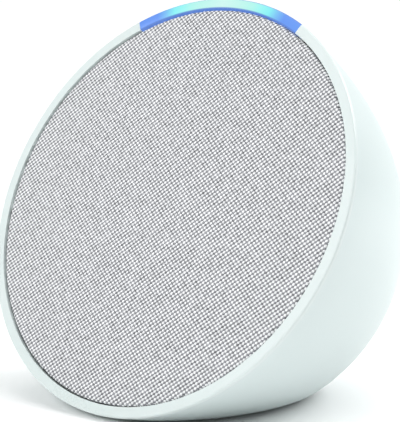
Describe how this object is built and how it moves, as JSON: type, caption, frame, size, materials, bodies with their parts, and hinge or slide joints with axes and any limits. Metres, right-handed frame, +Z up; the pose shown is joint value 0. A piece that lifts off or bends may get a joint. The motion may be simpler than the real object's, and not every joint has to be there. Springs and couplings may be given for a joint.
{
  "type": "smart speaker",
  "caption": "Half-dome table speaker with a leaning round cloth front, a light bar in the rim's top, press keys behind it and a round power inlet low at the back.",
  "frame": {"origin": "middle of the bounding box on the plane that the rubber foot stands on", "axes": "+Z up, the cloth front looks along -Y and leans back by 25.5 degrees, +X is to the right seen from the front"},
  "size_m": [0.099, 0.0828, 0.0908],
  "materials": {
    "white_shell": "satin moulded",
    "white_bezel": "semi-gloss moulded",
    "light_guide": "translucent, lit",
    "grille_plastic": "moulded",
    "grille_weave": "woven",
    "key_plastic": "satin moulded",
    "black_plastic": "moulded",
    "natural_plastic": "moulded",
    "foot_rubber": "matt",
    "seal_rubber": "matt",
    "foam": "foam",
    "surround_rubber": "satin",
    "cone_paper": "pressed pulp",
    "spider_cloth": "resin dipped",
    "former_film": "film",
    "copper_wire": "enamelled",
    "ferrite": "sintered",
    "zinc_steel": "zinc plated",
    "screw_steel": "nickel plated",
    "basket_steel": "powder coated",
    "shield_tin": "tin plated",
    "spreader_aluminium": "extruded",
    "board_laminate": "solder mask",
    "white_board": "white solder mask",
    "ribbon_film": "polyimide film",
    "chip_epoxy": "moulded epoxy",
    "led_ceramic": "moulded",
    "capacitor_can": "sleeved",
    "silicone_pad": "soft",
    "wire_red": "extruded",
    "wire_black": "extruded",
    "contact_bronze": "plated"
  },
  "bodies": {
    "housing": {"rear_shell": "white_shell", "front_bezel": "white_bezel", "light_bar": "light_guide", "grille_frame": "grille_plastic", "grille_cloth": "grille_weave", "base_plate": "white_shell", "foot_ring": "foot_rubber", "base_screws": "screw_steel", "key_bracket": "black_plastic", "key_circuit": "ribbon_film", "key_switches": "black_plastic", "microphones": "shield_tin", "microphone_seals": "seal_rubber", "light_strip": "white_board", "light_diodes": "led_ceramic", "strip_carrier": "natural_plastic", "baffle": "black_plastic", "baffle_screws": "screw_steel", "chamber_gasket": "foam", "acoustic_chamber": "black_plastic", "chamber_screws": "screw_steel", "wire_grommet": "seal_rubber", "driver_gasket": "foam", "driver_basket": "basket_steel", "driver_surround": "surround_rubber", "spider": "spider_cloth", "top_plate": "zinc_steel", "ring_magnet": "ferrite", "yoke": "zinc_steel", "driver_screws": "screw_steel", "driver_terminals": "natural_plastic", "speaker_wire_positive": "wire_red", "speaker_wire_negative": "wire_black", "main_board": "board_laminate", "board_screws": "screw_steel", "processor": "chip_epoxy", "processor_shield": "shield_tin", "thermal_pad": "silicone_pad", "heat_spreader": "spreader_aluminium", "radio_shield": "shield_tin", "board_chips": "chip_epoxy", "capacitors": "capacitor_can", "power_inductor": "chip_epoxy", "board_connectors": "natural_plastic", "wifi_antenna": "board_laminate", "bluetooth_antenna": "board_laminate", "key_ribbon": "ribbon_film", "power_jack": "black_plastic", "jack_pin": "contact_bronze", "jack_contact": "contact_bronze"},
    "volume_down": {"volume_down_key": "key_plastic", "volume_down_plunger": "black_plastic"},
    "mic_off": {"mic_off_key": "key_plastic", "mic_off_plunger": "black_plastic"},
    "volume_up": {"volume_up_key": "key_plastic", "volume_up_plunger": "black_plastic"},
    "cone": {"driver_cone": "cone_paper", "dust_cap": "cone_paper", "voice_coil_former": "former_film", "voice_coil_winding": "copper_wire"}
  },
  "joints": [
    {"name": "volume_down_press", "type": "slide", "parent": "housing", "child": "volume_down", "axis": [0.3746, -0.3992, -0.8369], "range_m": [0, 0.0004], "stiffness_N_per_m": 2500, "springref_m": -0.0002},
    {"name": "mic_off_press", "type": "slide", "parent": "housing", "child": "mic_off", "axis": [0, -0.4305, -0.9026], "range_m": [0, 0.0004], "stiffness_N_per_m": 2500, "springref_m": -0.0002},
    {"name": "volume_up_press", "type": "slide", "parent": "housing", "child": "volume_up", "axis": [-0.3746, -0.3992, -0.8369], "range_m": [0, 0.0004], "stiffness_N_per_m": 2500, "springref_m": -0.0002},
    {"name": "cone_stroke", "type": "slide", "parent": "housing", "child": "cone", "axis": [0, -0.9026, 0.4305], "range_m": [-0.0015, 0.0015], "stiffness_N_per_m": 1200, "deforming": ["driver_surround", "spider"]}
  ]
}
